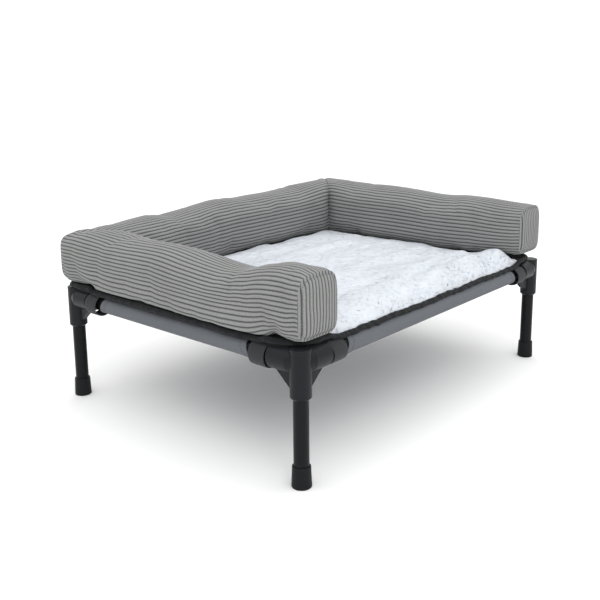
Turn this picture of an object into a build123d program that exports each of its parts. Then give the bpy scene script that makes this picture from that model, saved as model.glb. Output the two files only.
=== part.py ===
from build123d import *
import os

# A raised dog bed: a knock-down tube frame with moulded corners, a fabric sling over the rails,
# and a topper that lifts off, made of a plush mat with a U-shaped bolster on three sides.
# Millimetres. The origin is on the floor under the middle of the bed, +X runs along the long side,
# -Y is the open front side and +Z is up.

# Frame, overall
frame_length = 650.0  # over the corner arms, along X
frame_width = 500.0  # over the corner arms, along Y
deck_height = 180.0  # floor to the top of the corner connectors

# Tubes
leg_d = 20.0
rail_d = 22.0
tube_wall = 0.8
tube_fit = 0.05  # radial clearance of a tube in its socket or cap

# Corner connectors
socket_wall = 3.6
socket_length = 64.0
socket_cap = 10.0  # solid above the leg's end
arm_wall = 5.45
arm_reach = 44.0  # leg axis to the mouth of an arm
arm_step = 1.0  # the arms' tops lie this far below the socket's top
arm_taper = 13.0  # an arm narrows to the socket's width over this length
bore_web = 6.0  # wall between the leg's bore and a rail's bore
gusset_thickness = 9.0
gusset_reach = 36.0  # leg axis to the gusset's tip under the arm
gusset_drop = 20.0  # below the arm's underside, at the socket
edge_round = 1.4  # rounded outer edges of the moulding
mouth_chamfer = 0.8  # lead-in at the bores
foot_chamfer = 2.2  # bottom outer edge of the leg socket
end_gap = 0.5  # between a tube's end and the bottom of its bore

# Foot caps
foot_height = 28.0
foot_floor = 4.0  # rubber under the leg's end
foot_top_wall = 1.9
foot_flare = 1.1  # the base is this much larger in radius than the top
foot_round = 1.5

# Sling
sling_thickness = 1.2
wrap_clearance = 0.3  # sleeve, strap and mat over what they lie on
sleeve_slant = 10.0  # a sleeve's underside runs this much nearer to the corner than its top

# Straps
strap_width = 28.0
strap_thickness = 1.3
strap_slack = 3.7  # radial room between a strap's loop and the rail
strap_margin = 1.0  # between a strap and the arm or the sleeve beside it

# Mat
mat_base_thickness = 1.5
mat_pad_thickness = 7.5
mat_plush_thickness = 3.0
mat_inset = 3.0  # outer edge of the binding inside the frame's outside, on the bolster's sides
mat_front_overhang = 8.0  # outer edge of the binding beyond the front rail's axis
mat_corner = 26.0
binding_width = 7.2
binding_round = 2.5

# Bolster
bolster_width = 80.0
bolster_height = 90.0
bolster_round = 28.0
cover_thickness = 2.0
end_panel_thickness = 3.0
bolster_overhang = 11.0  # front ends beyond the front rail's axis

# Worked out from the sizes above
socket_r = leg_d / 2 + tube_fit + socket_wall
arm_r = rail_d / 2 + tube_fit + arm_wall
leg_x = frame_length / 2 - arm_r
leg_y = frame_width / 2 - arm_r
rail_z = deck_height - arm_step - arm_r
bore_stop = leg_d / 2 + tube_fit + bore_web
strap_start = arm_reach + strap_margin
sleeve_start = strap_start + strap_width + strap_margin
sling_inner_r = rail_d / 2 + wrap_clearance
sling_outer_r = sling_inner_r + sling_thickness
strap_top = rail_z + rail_d / 2 + wrap_clearance + strap_thickness
mat_z = max(strap_top, rail_z + sling_outer_r) + wrap_clearance
bolster_z = mat_z + mat_base_thickness + mat_pad_thickness + mat_plush_thickness + wrap_clearance
front_end = leg_y + bolster_overhang  # how far the bolster reaches towards -Y

CORNERS = {  # side of X, side of Y, turn about Z that points the arms along the rails
    "front_left": (-1, -1, 0),
    "front_right": (1, -1, 90),
    "back_right": (1, 1, 180),
    "back_left": (-1, 1, -90),
}
RAILS = {  # span between leg axes, middle, turn about Z from the front rail, rails at its ends
    "front": (2 * leg_x, (0, -leg_y), 0, ("left", "right")),
    "right": (2 * leg_y, (leg_x, 0), 90, ("front", "back")),
    "back": (2 * leg_x, (0, leg_y), 180, ("right", "left")),
    "left": (2 * leg_y, (-leg_x, 0), -90, ("back", "front")),
}
UP = (Align.CENTER, Align.CENTER, Align.MIN)


def bar_x(radius, start, end):
    """A round bar along X."""
    return Pos(start, 0, 0) * Rot(0, 90, 0) * Cylinder(radius, end - start, align=UP)


def tube(radius, length):
    """A tube standing on its end."""
    return Cylinder(radius, length, align=UP) - Cylinder(radius - tube_wall, length, align=UP)


def at_corner(shape, corner):
    side_x, side_y, turn = CORNERS[corner]
    return Pos(side_x * leg_x, side_y * leg_y, 0) * Rot(0, 0, turn) * shape


def on_rail(shape, rail):
    """Places a shape made about a rail along X, with the bed's outside towards -Y."""
    middle, turn = RAILS[rail][1:3]
    return Pos(*middle, rail_z) * Rot(0, 0, turn) * shape


# Frame


def connector_arm():
    """One arm with its gusset, along +X from the leg's axis, still without its bore."""
    arm = fillet(bar_x(arm_r, arm_taper, arm_reach).edges().sort_by(Axis.X)[-1], edge_round)
    root = Rot(0, 90, 0) * Cone(socket_r - edge_round, arm_r, arm_taper, align=UP)
    arm = Pos(0, 0, rail_z) * (arm + root)
    arm_bottom = rail_z - arm_r
    outline = Polyline(
        (0, rail_z),
        (gusset_reach, rail_z),
        (gusset_reach, arm_bottom),
        (socket_r, arm_bottom - gusset_drop),
        (0, arm_bottom - gusset_drop),
        close=True,
    )
    gusset = extrude(Plane.XZ * make_face(outline), gusset_thickness / 2, both=True)
    return arm + gusset


def connector():
    """A corner moulding: a socket for the leg and two arms for the rails, at the leg's axis."""
    bottom = deck_height - socket_length
    socket = Pos(0, 0, bottom) * Cylinder(socket_r, socket_length, align=UP)
    socket = fillet(socket.edges().sort_by(Axis.Z)[-1], edge_round)
    socket = chamfer(socket.edges().sort_by(Axis.Z)[0], foot_chamfer)
    body = socket + connector_arm() + Rot(0, 0, 90) * mirror(connector_arm(), Plane.XZ)
    leg_bore_r = leg_d / 2 + tube_fit
    leg_bore = Pos(0, 0, bottom) * Cylinder(leg_bore_r, socket_length - socket_cap, align=UP)
    lead_in = Cone(leg_bore_r + mouth_chamfer, leg_bore_r, mouth_chamfer, align=UP)
    body -= leg_bore + Pos(0, 0, bottom) * lead_in
    rail_bore_r = rail_d / 2 + tube_fit
    rail_lead_in = Cone(rail_bore_r, rail_bore_r + mouth_chamfer, mouth_chamfer, align=UP)
    rail_bore = Pos(0, 0, rail_z) * (
        bar_x(rail_bore_r, bore_stop, arm_reach)
        + Pos(arm_reach - mouth_chamfer, 0, 0) * Rot(0, 90, 0) * rail_lead_in
    )
    return body - rail_bore - Rot(0, 0, 90) * rail_bore


def leg():
    top = deck_height - socket_cap - end_gap
    return Pos(0, 0, foot_floor) * tube(leg_d / 2, top - foot_floor)


def foot():
    """A flared rubber cap that the leg stands in."""
    top_r = leg_d / 2 + tube_fit + foot_top_wall
    cap = Cone(top_r + foot_flare, top_r, foot_height, align=UP)
    rims = cap.edges().filter_by(GeomType.CIRCLE).sort_by(Axis.Z)
    cap = fillet(rims[0], foot_round)
    cap = fillet(cap.edges().filter_by(GeomType.CIRCLE).sort_by(Axis.Z)[-1], foot_round / 2)
    return cap - Pos(0, 0, foot_floor) * Cylinder(leg_d / 2 + tube_fit, foot_height, align=UP)


def rail(name):
    length = RAILS[name][0] - 2 * (bore_stop + end_gap)
    return on_rail(Pos(-length / 2, 0, 0) * Rot(0, 90, 0) * tube(rail_d / 2, length), name)


# Sling and straps


def sleeve(name):
    """The pocket round one rail, cut on a slant at both ends."""
    half = RAILS[name][0] / 2 - sleeve_start
    ring = bar_x(sling_outer_r, -half, half) - bar_x(sling_inner_r, -half, half)
    side = Polyline(
        (-half, -sling_outer_r),
        (half, -sling_outer_r),
        (half - sleeve_slant, sling_outer_r),
        (-half + sleeve_slant, sling_outer_r),
        close=True,
    )
    return on_rail(ring & extrude(Plane.XZ * make_face(side), sling_outer_r, both=True), name)


def sling():
    """The stretched panel with its four sleeves, and a rounded cut-out at each corner."""
    bottom = rail_z + sling_inner_r
    panel = Pos(0, 0, bottom) * Box(2 * leg_x, 2 * leg_y, sling_thickness, align=UP)
    cut_out = Cylinder(sleeve_start + sleeve_slant, deck_height, align=UP)
    for corner in CORNERS:
        panel -= at_corner(cut_out, corner)
    for name in RAILS:
        panel += sleeve(name)
    return panel


def strap_section(radius, top):
    """A disc about the rail, flattened at the top where the strap lies under the mat."""
    below_top = Pos(0, top - radius) * Rectangle(4 * radius, 2 * radius)
    return Circle(radius) & below_top


def strap(name, end):
    """One strap looped round a rail, between the corner arm and the sleeve; end is -1 or 1."""
    inner_r = rail_d / 2 + strap_slack
    top = strap_top - rail_z
    ring = strap_section(inner_r + strap_thickness, top)
    ring -= strap_section(inner_r, top - strap_thickness)
    loop = extrude(Plane.YZ * ring, strap_width)
    start = RAILS[name][0] / 2 - strap_start
    return on_rail(Pos(start - strap_width if end > 0 else -start, 0, 0) * loop, name)


# Topper


def mat_plan(inset):
    """The mat's outline, that far inside the binding's outer edge."""
    half_x = frame_length / 2 - mat_inset - inset
    front = -(leg_y + mat_front_overhang - inset)
    back = frame_width / 2 - mat_inset - inset
    outline = RectangleRounded(2 * half_x, back - front, mat_corner - inset)
    return Pos(0, (back + front) / 2) * outline


def over_corners(shape):
    """Hollows the underside of a layer of the mat where the four connectors rise into it."""
    pocket = Cylinder(socket_r + wrap_clearance, deck_height + wrap_clearance, align=UP)
    arm = Pos(0, 0, rail_z) * bar_x(arm_r + wrap_clearance, 0, arm_reach + wrap_clearance)
    pocket += arm + Rot(0, 0, 90) * arm
    for corner in CORNERS:
        shape -= at_corner(pocket, corner)
    return shape


def mat_layer(bottom, thickness):
    return over_corners(Pos(0, 0, bottom) * extrude(mat_plan(binding_width), thickness))


def mat_binding():
    """The bound edge all round the base and the pad, rounded on its outside."""
    slab = extrude(mat_plan(0), mat_base_thickness + mat_pad_thickness)
    outlines = slab.edges().group_by(Axis.Z)
    slab = fillet(outlines[0] + outlines[-1], binding_round)
    slab -= extrude(mat_plan(binding_width), mat_base_thickness + mat_pad_thickness)
    return over_corners(Pos(0, 0, mat_z) * slab)


def bolster_profile(inset):
    """The bolster's section, centred, shrunk by inset."""
    return RectangleRounded(
        bolster_width - 2 * inset, bolster_height - 2 * inset, bolster_round - inset
    )


def bolster_run(name, inset, front):
    """One run of the bolster with mitred ends, shrunk by inset; the side runs end at -front."""
    out_x, out_y = frame_length / 2, frame_width / 2
    middle_z = bolster_z + bolster_height / 2
    section = Plane.YZ * bolster_profile(inset)
    if name == "back":
        run = Pos(0, out_y - bolster_width / 2, middle_z) * extrude(section, out_x, both=True)
        inner_x = out_x - bolster_width
        inner_y = out_y - bolster_width
        plan = Polyline((-out_x, out_y), (out_x, out_y), (inner_x, inner_y), (-inner_x, inner_y), close=True)
    else:
        side = -1 if name == "left" else 1
        turned = Rot(0, 0, 90) * extrude(section, out_y, both=True)
        run = Pos(side * (out_x - bolster_width / 2), 0, middle_z) * turned
        inner_x = side * (out_x - bolster_width)
        plan = Polyline(
            (side * out_x, -front),
            (side * out_x, out_y),
            (inner_x, out_y - bolster_width),
            (inner_x, -front),
            close=True,
        )
    return run & Pos(0, 0, bolster_z) * extrude(make_face(plan), bolster_height)


def bolster_cover(name):
    front = front_end - end_panel_thickness
    return bolster_run(name, 0, front) - bolster_run(name, cover_thickness, front)


def bolster_fill(name):
    return bolster_run(name, cover_thickness + wrap_clearance, front_end - end_panel_thickness)


def bolster_end(side):
    """The panel sewn into the front end of a side run, with a rounded outer edge."""
    panel = extrude(Plane.XZ * bolster_profile(0), end_panel_thickness)
    rim = panel.faces().sort_by(Axis.Y)[0].edges()
    panel = fillet(rim, end_panel_thickness / 2)
    x = side * (frame_length / 2 - bolster_width / 2)
    return Pos(x, -front_end + end_panel_thickness, bolster_z + bolster_height / 2) * panel


def all_parts():
    parts = {"sling": sling(), "mat_binding": mat_binding()}
    for corner in CORNERS:
        parts[f"connector_{corner}"] = at_corner(connector(), corner)
        parts[f"leg_{corner}"] = at_corner(leg(), corner)
        parts[f"foot_{corner}"] = at_corner(foot(), corner)
    for name in RAILS:
        parts[f"rail_{name}"] = rail(name)
        for end, neighbour in zip((-1, 1), RAILS[name][3]):
            parts[f"strap_{name}_rail_{neighbour}"] = strap(name, end)
    pad_z = mat_z + mat_base_thickness
    parts["mat_base"] = mat_layer(mat_z, mat_base_thickness)
    parts["mat_pad"] = mat_layer(pad_z, mat_pad_thickness)
    parts["mat_plush"] = mat_layer(pad_z + mat_pad_thickness, mat_plush_thickness)
    for name in ("left", "back", "right"):
        parts[f"bolster_cover_{name}"] = bolster_cover(name)
        parts[f"bolster_fill_{name}"] = bolster_fill(name)
    for name, side in (("left", -1), ("right", 1)):
        parts[f"bolster_end_{name}"] = bolster_end(side)
    return parts


os.makedirs("parts", exist_ok=True)
for node, shape in all_parts().items():
    export_step(shape, f"parts/{node}.step")
    print(node, [round(v, 1) for v in shape.bounding_box().size])
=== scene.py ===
import math
import bmesh
import bpy
import numpy as np
from mathutils import Matrix, Vector
from mathutils.kdtree import KDTree


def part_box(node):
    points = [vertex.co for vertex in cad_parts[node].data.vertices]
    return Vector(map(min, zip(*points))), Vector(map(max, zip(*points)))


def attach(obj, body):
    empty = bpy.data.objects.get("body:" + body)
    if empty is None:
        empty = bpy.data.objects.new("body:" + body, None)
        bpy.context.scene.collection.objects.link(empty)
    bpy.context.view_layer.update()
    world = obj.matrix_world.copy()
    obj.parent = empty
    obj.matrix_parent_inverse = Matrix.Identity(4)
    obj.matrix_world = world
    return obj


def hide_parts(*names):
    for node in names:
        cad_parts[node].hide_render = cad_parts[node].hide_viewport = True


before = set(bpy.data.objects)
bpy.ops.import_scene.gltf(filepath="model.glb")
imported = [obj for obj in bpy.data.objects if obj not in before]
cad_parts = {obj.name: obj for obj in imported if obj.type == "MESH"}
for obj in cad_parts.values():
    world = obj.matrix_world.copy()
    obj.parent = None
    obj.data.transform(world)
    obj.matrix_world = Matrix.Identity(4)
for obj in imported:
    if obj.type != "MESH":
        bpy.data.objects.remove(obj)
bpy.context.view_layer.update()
print("frame loaded")

# Places taken from the frame, in metres


def middleOf(node):
    low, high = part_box(node)
    return (low + high) / 2


corners = [(-1, -1), (1, -1), (1, 1), (-1, 1)]  # the side of X and of Y each leg is on
legX, legY = middleOf("leg_back_right").xy
railZ = middleOf("rail_front").z
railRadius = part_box("rail_front")[1].z - railZ
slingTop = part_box("sling")[1].z
sleeveRadius = slingTop - railZ
matLow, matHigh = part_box("mat_binding")
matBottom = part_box("mat_base")[0].z
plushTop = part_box("mat_plush")[1].z
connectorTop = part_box("connector_front_left")[1].z
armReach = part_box("connector_front_left")[1].x + legX  # from a leg's axis to an arm's mouth
bolsterLow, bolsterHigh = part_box("bolster_cover_back")
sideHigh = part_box("bolster_cover_left")[1]
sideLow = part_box("bolster_cover_left")[0]

# Camera, first of all


def makeCamera():
    cameraDial = {
        "place": (-0.9971, -0.8354, 0.4991),
        "azimuth": 48.89,
        "pitch": 11.55,
        "roll": -0.55,
        "lens": 48.07,
        "shiftY": -0.1,
    }
    data = bpy.data.cameras.new("camera")
    data.lens = cameraDial["lens"]
    data.shift_y = cameraDial["shiftY"]
    camera = bpy.data.objects.new("camera", data)
    camera.location = cameraDial["place"]
    turn = Matrix.Rotation(-math.radians(cameraDial["azimuth"]), 3, "Z")
    turn = turn @ Matrix.Rotation(math.radians(90 - cameraDial["pitch"]), 3, "X")
    turn = turn @ Matrix.Rotation(math.radians(cameraDial["roll"]), 3, "Z")
    camera.rotation_euler = turn.to_euler()
    bpy.context.scene.collection.objects.link(camera)
    bpy.context.scene.camera = camera


makeCamera()
print("camera set")

# Shader helpers: each returns an output socket


def socket(tree, value, target):
    if isinstance(value, bpy.types.NodeSocket):
        tree.links.new(value, target)
    else:
        target.default_value = value


def calc(tree, operation, a, b=0.0, c=0.0):
    node = tree.nodes.new("ShaderNodeMath")
    node.operation = operation
    for value, target in zip((a, b, c), node.inputs):
        socket(tree, value, target)
    return node.outputs[0]


def blended(tree, first, firstShare, second, secondShare):
    first = calc(tree, "MULTIPLY", first, firstShare)
    return calc(tree, "ADD", first, calc(tree, "MULTIPLY", second, secondShare))


def spread(tree, value, fromLow, fromHigh, toLow, toHigh):
    node = tree.nodes.new("ShaderNodeMapRange")
    for given, target in zip((value, fromLow, fromHigh, toLow, toHigh), node.inputs):
        socket(tree, given, target)
    return node.outputs[0]


def noiseOf(tree, vector, scale, detail=2.0, roughness=0.5):
    node = tree.nodes.new("ShaderNodeTexNoise")
    tree.links.new(vector, node.inputs["Vector"])
    for value, name in ((scale, "Scale"), (detail, "Detail"), (roughness, "Roughness")):
        socket(tree, value, node.inputs[name])
    return node.outputs["Fac"]


def stretched(tree, vector, scale):
    node = tree.nodes.new("ShaderNodeMapping")
    tree.links.new(vector, node.inputs["Vector"])
    node.inputs["Scale"].default_value = scale
    return node.outputs[0]


def mixed(tree, share, first, second):
    node = tree.nodes.new("ShaderNodeMix")
    node.data_type = "RGBA"
    socket(tree, share, node.inputs[0])
    socket(tree, first, node.inputs[6])
    socket(tree, second, node.inputs[7])
    return node.outputs[2]


def scaledColour(tree, colour, factor):
    node = tree.nodes.new("ShaderNodeVectorMath")
    node.operation = "SCALE"
    socket(tree, colour, node.inputs[0])
    socket(tree, factor, node.inputs[3])
    return node.outputs[0]


def bumped(tree, height, strength, distance):
    node = tree.nodes.new("ShaderNodeBump")
    node.inputs["Strength"].default_value = strength
    node.inputs["Distance"].default_value = distance
    tree.links.new(height, node.inputs["Height"])
    return node.outputs[0]


def objectPoint(tree):
    return tree.nodes.new("ShaderNodeTexCoord").outputs["Object"]


def uvPoint(tree):
    return tree.nodes.new("ShaderNodeTexCoord").outputs["UV"]


def startGroup(name, inputs, outputs):
    tree = bpy.data.node_groups.new(name, "ShaderNodeTree")
    for socketName, kind, value in inputs:
        made = tree.interface.new_socket(socketName, in_out="INPUT", socket_type=kind)
        if value is not None:
            made.default_value = value
    for socketName, kind in outputs:
        tree.interface.new_socket(socketName, in_out="OUTPUT", socket_type=kind)
    return tree, tree.nodes.new("NodeGroupInput"), tree.nodes.new("NodeGroupOutput")


def place(tree, group, **values):
    node = tree.nodes.new("ShaderNodeGroup")
    node.node_tree = group
    for name, value in values.items():
        socket(tree, value, node.inputs[name])
    return node


def startMaterial(name, **constants):
    material = bpy.data.materials.new(name)
    material.use_nodes = True
    tree = material.node_tree
    shader = tree.nodes["Principled BSDF"]
    for key, value in constants.items():
        shader.inputs[key.replace("_", " ")].default_value = value
    return material, tree, shader


def wireUp(tree, shader, colour, roughness, normal):
    for name, output in (("Base Color", colour), ("Roughness", roughness), ("Normal", normal)):
        tree.links.new(output, shader.inputs[name])


# Shared effects


def makeFibreGroup():
    # Soft tone changes and a fine fuzz, for every cloth
    tree, given, out = startGroup(
        "fibre",
        [("Vector", "NodeSocketVector", None), ("Fuzz", "NodeSocketFloat", 900.0),
         ("Tone", "NodeSocketFloat", 0.1)],
        [("Factor", "NodeSocketFloat"), ("Height", "NodeSocketFloat"), ("Roughness", "NodeSocketFloat")],
    )
    broad = noiseOf(tree, given.outputs["Vector"], 14.0, 3.0)
    fine = noiseOf(tree, given.outputs["Vector"], given.outputs["Fuzz"], 3.0, 0.65)
    both = blended(tree, broad, 0.6, fine, 0.4)
    swing = calc(tree, "MULTIPLY", calc(tree, "SUBTRACT", both, 0.5), given.outputs["Tone"])
    tree.links.new(calc(tree, "MULTIPLY_ADD", swing, 4.0, 1.0), out.inputs["Factor"])
    tree.links.new(fine, out.inputs["Height"])
    tree.links.new(spread(tree, broad, 0.3, 0.7, 0.86, 0.97), out.inputs["Roughness"])
    return tree


def makeWeaveGroup():
    # A plain weave: threads along U pass over and under threads along V, one per unit
    tree, given, out = startGroup(
        "weave",
        [("Vector", "NodeSocketVector", None)],
        [("Height", "NodeSocketFloat"), ("Gap", "NodeSocketFloat")],
    )
    split = tree.nodes.new("ShaderNodeSeparateXYZ")
    tree.links.new(given.outputs["Vector"], split.inputs[0])
    u, v = split.outputs[0], split.outputs[1]
    ridgeU = calc(tree, "ABSOLUTE", calc(tree, "SINE", calc(tree, "MULTIPLY", u, math.pi)))
    ridgeV = calc(tree, "ABSOLUTE", calc(tree, "SINE", calc(tree, "MULTIPLY", v, math.pi)))
    cell = calc(tree, "ADD", calc(tree, "FLOOR", u), calc(tree, "FLOOR", v))
    odd = calc(tree, "ABSOLUTE", calc(tree, "MODULO", cell, 2.0))
    over = calc(tree, "MULTIPLY", ridgeU, odd)
    under = calc(tree, "MULTIPLY", ridgeV, calc(tree, "SUBTRACT", 1.0, odd))
    tree.links.new(calc(tree, "ADD", over, under), out.inputs["Height"])
    tree.links.new(calc(tree, "MULTIPLY", ridgeU, ridgeV), out.inputs["Gap"])
    return tree


def makeMouldGroup():
    # Fine grain, uneven gloss and a painted highlight: a lighter colour in patches where a hard surface faces
    # up
    tree, given, out = startGroup(
        "mould",
        [("Vector", "NodeSocketVector", None), ("Grain", "NodeSocketFloat", 1400.0),
         ("Gloss", "NodeSocketFloat", 0.4), ("Dust", "NodeSocketFloat", 0.1)],
        [("Dusty", "NodeSocketFloat"), ("Factor", "NodeSocketFloat"), ("Height", "NodeSocketFloat"),
         ("Roughness", "NodeSocketFloat")],
    )
    grain = noiseOf(tree, given.outputs["Vector"], given.outputs["Grain"], 2.0, 0.6)
    smear = noiseOf(tree, given.outputs["Vector"], 38.0, 4.0, 0.6)
    facing = tree.nodes.new("ShaderNodeSeparateXYZ")
    tree.links.new(tree.nodes.new("ShaderNodeNewGeometry").outputs["Normal"], facing.inputs[0])
    upward = spread(tree, facing.outputs[2], 0.2, 1.0, 0.0, 1.0)
    # painted highlight: upward-facing surfaces are mixed towards a lighter colour, in patches
    paintedHighlight = calc(tree, "MULTIPLY", calc(tree, "MULTIPLY", upward, smear), given.outputs["Dust"])
    tree.links.new(paintedHighlight, out.inputs["Dusty"])
    tree.links.new(spread(tree, smear, 0.3, 0.7, 0.9, 1.12), out.inputs["Factor"])
    tree.links.new(grain, out.inputs["Height"])
    uneven = spread(tree, smear, 0.3, 0.7, -0.06, 0.08)
    tree.links.new(calc(tree, "ADD", given.outputs["Gloss"], uneven), out.inputs["Roughness"])
    return tree


fibre, weave, mould = makeFibreGroup(), makeWeaveGroup(), makeMouldGroup()

# Materials


def hardMaterial(name, colour, gloss, grain, grainDepth, highlightShare, shine):
    material, tree, shader = startMaterial(name, Specular_IOR_Level=shine)
    group = place(tree, mould, Vector=objectPoint(tree), Grain=grain, Gloss=gloss, Dust=highlightShare)
    toned = scaledColour(tree, colour, group.outputs["Factor"])
    # the lighter colour of the painted highlight on upward faces
    highlightColour = (0.16, 0.165, 0.17, 1)
    highlighted = mixed(tree, group.outputs["Dusty"], toned, highlightColour)
    normal = bumped(tree, group.outputs["Height"], 0.35, grainDepth)
    wireUp(tree, shader, highlighted, group.outputs["Roughness"], normal)
    return material


def corduroyMaterial():
    # U counts the wales, V is metres along them
    material, tree, shader = startMaterial(
        "corduroy", Sheen_Weight=0.2, Sheen_Roughness=0.45, Sheen_Tint=(0.8, 0.8, 0.8, 1),
        Specular_IOR_Level=0.1,
    )
    split = tree.nodes.new("ShaderNodeSeparateXYZ")
    point = uvPoint(tree)
    tree.links.new(point, split.inputs[0])
    phase = calc(tree, "MULTIPLY", split.outputs[0], math.pi)
    crest = calc(tree, "ABSOLUTE", calc(tree, "SINE", phase))
    # a ramp from groove to crest, used for painted shade in the grooves and lighter crests
    waleShading = spread(tree, crest, 0.05, 0.78, 0.0, 1.0)
    tufts = noiseOf(tree, stretched(tree, point, (3.0, 420.0, 1.0)), 1.0, 3.0, 0.7)
    soft = place(tree, fibre, Vector=objectPoint(tree), Fuzz=1500.0, Tone=0.10)
    # dark groove colour and light crest colour: painted shade between the wales
    ground = mixed(tree, waleShading, (0.048, 0.050, 0.049, 1), (0.240, 0.243, 0.240, 1))
    streak = calc(tree, "MULTIPLY", spread(tree, tufts, 0.3, 0.7, 0.86, 1.14), soft.outputs["Factor"])
    height = blended(tree, tufts, 0.5, soft.outputs["Height"], 0.5)
    colour = scaledColour(tree, ground, streak)
    wireUp(tree, shader, colour, soft.outputs["Roughness"], bumped(tree, height, 0.5, 0.0006))
    return material


def plushMaterial():
    material, tree, shader = startMaterial(
        "plush", Sheen_Weight=0.25, Sheen_Roughness=0.35, Sheen_Tint=(0.92, 0.95, 1.0, 1),
        Specular_IOR_Level=0.1,
    )
    point = objectPoint(tree)
    soft = place(tree, fibre, Vector=point, Fuzz=700.0, Tone=0.05)
    clumps = noiseOf(tree, stretched(tree, point, (1.0, 1.7, 1.0)), 95.0, 3.0, 0.6)
    nap = noiseOf(tree, stretched(tree, point, (0.35, 1.5, 1.0)), 20.0, 3.0, 0.55)
    clumpShade, napShade = spread(tree, clumps, 0.3, 0.7, 0.97, 1.01), spread(tree, nap, 0.35, 0.65, 0.93, 1.07)
    shade = calc(tree, "MULTIPLY", clumpShade, napShade)
    body = mixed(tree, clumps, (0.565, 0.597, 0.642, 1), (0.615, 0.642, 0.682, 1))
    tone = calc(tree, "MULTIPLY", shade, soft.outputs["Factor"])
    height = blended(tree, clumps, 0.7, soft.outputs["Height"], 0.3)
    colour = scaledColour(tree, body, tone)
    wireUp(tree, shader, colour, soft.outputs["Roughness"], bumped(tree, height, 0.3, 0.0015))
    return material


def wovenMaterial(name, colour, gapColour, threads, sheen, depth):
    # threads per metre of the piece's own UV map, which is in metres
    material, tree, shader = startMaterial(
        name, Sheen_Weight=sheen, Sheen_Roughness=0.5, Specular_IOR_Level=0.2
    )
    cloth = place(tree, weave, Vector=stretched(tree, uvPoint(tree), (threads, threads, 1.0)))
    soft = place(tree, fibre, Vector=objectPoint(tree), Fuzz=1100.0, Tone=0.08)
    ground = mixed(tree, spread(tree, cloth.outputs["Height"], 0.1, 0.7, 0.0, 1.0), gapColour, colour)
    colour = scaledColour(tree, ground, soft.outputs["Factor"])
    wireUp(tree, shader, colour, soft.outputs["Roughness"], bumped(tree, cloth.outputs["Height"], 0.7, depth))
    return material


# key, name, colour, gloss, grain, depth of the grain, share of the painted highlight on upward faces, shine
hardRows = [
    ("connector", "connectorPlastic", (0.0062, 0.0080, 0.0102), 0.36, 1500.0, 0.00012, 0.10, 0.19),
    ("tube", "coatedTube", (0.0045, 0.0052, 0.006), 0.32, 2600.0, 0.00006, 0.05, 0.15),
    ("foot", "footRubber", (0.0065, 0.0073, 0.0083), 0.50, 900.0, 0.00015, 0.10, 0.15),
]
# key, name, colour, colour of the gaps, threads per metre, sheen, depth of the weave
wovenRows = [
    ("sling", "slingWeave", (0.135, 0.145, 0.160, 1), (0.075, 0.081, 0.091, 1), 900.0, 0.08, 0.0003),
    ("base", "baseCloth", (0.012, 0.0125, 0.0135, 1), (0.006, 0.006, 0.0065, 1), 1200.0, 0.02, 0.0003),
    ("binding", "bindingTape", (0.0125, 0.0135, 0.015, 1), (0.005, 0.0053, 0.006, 1), 1300.0, 0.05, 0.0003),
    ("webbing", "webbing", (0.027, 0.030, 0.032, 1), (0.014, 0.0155, 0.017, 1), 900.0, 0.14, 0.0001),
    ("thread", "stitchThread", (0.035, 0.036, 0.039, 1), (0.02, 0.02, 0.021, 1), 3000.0, 0.05, 0.0003),
    ("greyThread", "greyThread", (0.150, 0.152, 0.150, 1), (0.07, 0.07, 0.07, 1), 3000.0, 0.15, 0.0003),
    ("slingThread", "slingThread", (0.085, 0.09, 0.098, 1), (0.04, 0.042, 0.046, 1), 3000.0, 0.15, 0.0003),
]
finishes = {key: hardMaterial(*row) for key, *row in hardRows}
finishes["corduroy"] = corduroyMaterial()
finishes["plush"] = plushMaterial()
for key, *row in wovenRows:
    finishes[key] = wovenMaterial(*row)
print("materials made")

# Mesh helpers


def smoothStep(value):
    value = np.clip(value, 0, 1)
    return value * value * (3 - 2 * value)


def evenNoise(points, size, seed):
    # Smooth noise from -1 to 1 that changes over about size metres
    tableSize, shift = 16, 100.0  # the shift keeps the cells' numbers above 0
    table = np.random.default_rng(seed).random((tableSize,) * 3) * 2 - 1
    cell = np.asarray(points) / size + shift
    low = np.floor(cell).astype(int)
    part = smoothStep(cell - low)
    total = 0.0
    for offset in np.ndindex(2, 2, 2):
        share = 1.0
        for axis, step in enumerate(offset):
            share = share * (part[..., axis] if step else 1 - part[..., axis])
        x, y, z = np.moveaxis((low + offset) % tableSize, -1, 0)
        total = total + share * table[x, y, z]
    return total


def flatGrid(name, across, along):
    # A unit grid with its UV map, and the u and v of each vertex
    bm = bmesh.new()
    bm.loops.layers.uv.new("UVMap")
    bmesh.ops.create_grid(bm, x_segments=across, y_segments=along, size=0.5, calc_uvs=True)
    mesh = bpy.data.meshes.new(name)
    bm.to_mesh(mesh)
    bm.free()
    co = np.zeros(len(mesh.vertices) * 3)
    mesh.vertices.foreach_get("co", co)
    uv = co.reshape(-1, 3)[:, :2] + 0.5
    return mesh, uv[:, 0], uv[:, 1]


def scaleUv(mesh, sizeU, sizeV):
    layer = mesh.uv_layers[0].data
    uv = np.zeros(len(layer) * 2)
    layer.foreach_get("uv", uv)
    uv = uv.reshape(-1, 2) * (sizeU, sizeV)
    layer.foreach_set("uv", uv.ravel())


def settle(mesh, points):
    mesh.vertices.foreach_set("co", np.asarray(points, float).ravel())
    mesh.update()


def finishMesh(mesh, merge=1e-6, fill=False):
    bm = bmesh.new()
    bm.from_mesh(mesh)
    bmesh.ops.remove_doubles(bm, verts=bm.verts, dist=merge)
    if fill:
        bmesh.ops.holes_fill(bm, edges=bm.edges, sides=0)
    bmesh.ops.recalc_face_normals(bm, faces=bm.faces)
    bm.to_mesh(mesh)
    bm.free()


def gridPoints(values, order, across, along):
    return values[order].reshape(across + 1, along + 1)


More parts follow.
